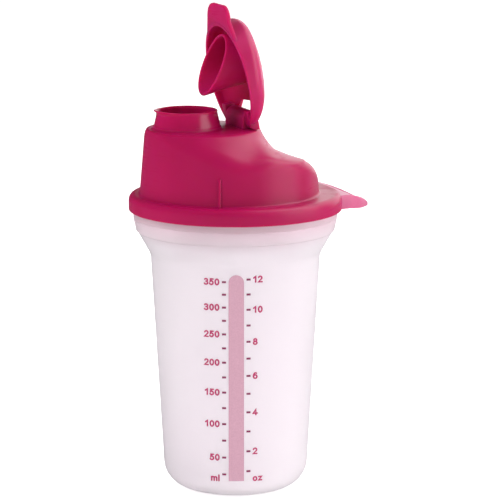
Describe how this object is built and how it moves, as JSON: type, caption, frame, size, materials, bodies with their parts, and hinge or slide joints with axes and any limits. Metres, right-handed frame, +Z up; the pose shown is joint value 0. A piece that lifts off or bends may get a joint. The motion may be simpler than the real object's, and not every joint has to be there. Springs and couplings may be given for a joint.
{
  "type": "shaker cup",
  "caption": "Translucent tapered shaker cup with a printed measuring scale, a loose mixing wheel, and a press-on lid with a pouring spout and a hinged flip cap.",
  "frame": {"origin": "centre of the cup's underside", "axes": "+Z up along the cup's axis, -X towards the pouring spout, +X towards the lift tab, Y along the cap's hinge"},
  "size_m": [0.1118, 0.0956, 0.2191],
  "materials": {
    "cup_plastic": "translucent satin moulding",
    "scale_ink": "printed ink film",
    "insert_plastic": "natural satin moulding",
    "lid_plastic": "satin magenta moulding"
  },
  "bodies": {
    "cup": {"cup": "cup_plastic", "level_bar": "scale_ink"},
    "lid": {"lid": "lid_plastic"},
    "flip_cap": {"flip_cap": "lid_plastic"},
    "blending_insert": {"blending_insert": "insert_plastic"}
  },
  "joints": [
    {"name": "lid_lift", "type": "slide", "parent": "cup", "child": "lid", "axis": [0, 0, 1], "range_m": [0, 0.06]},
    {"name": "insert_lift", "type": "slide", "parent": "cup", "child": "blending_insert", "axis": [0, 0, 1], "range_m": [0, 0.03]},
    {"name": "cap_hinge", "type": "hinge", "parent": "lid", "child": "flip_cap", "pos_m": [0.00379, 0, 0.1677], "axis": [0, 1, 0], "range_deg": [-78.2, 25.6]}
  ],
  "couplings": [
    {"joint": "insert_lift", "follows": "lid_lift", "ratio": 0.5}
  ]
}
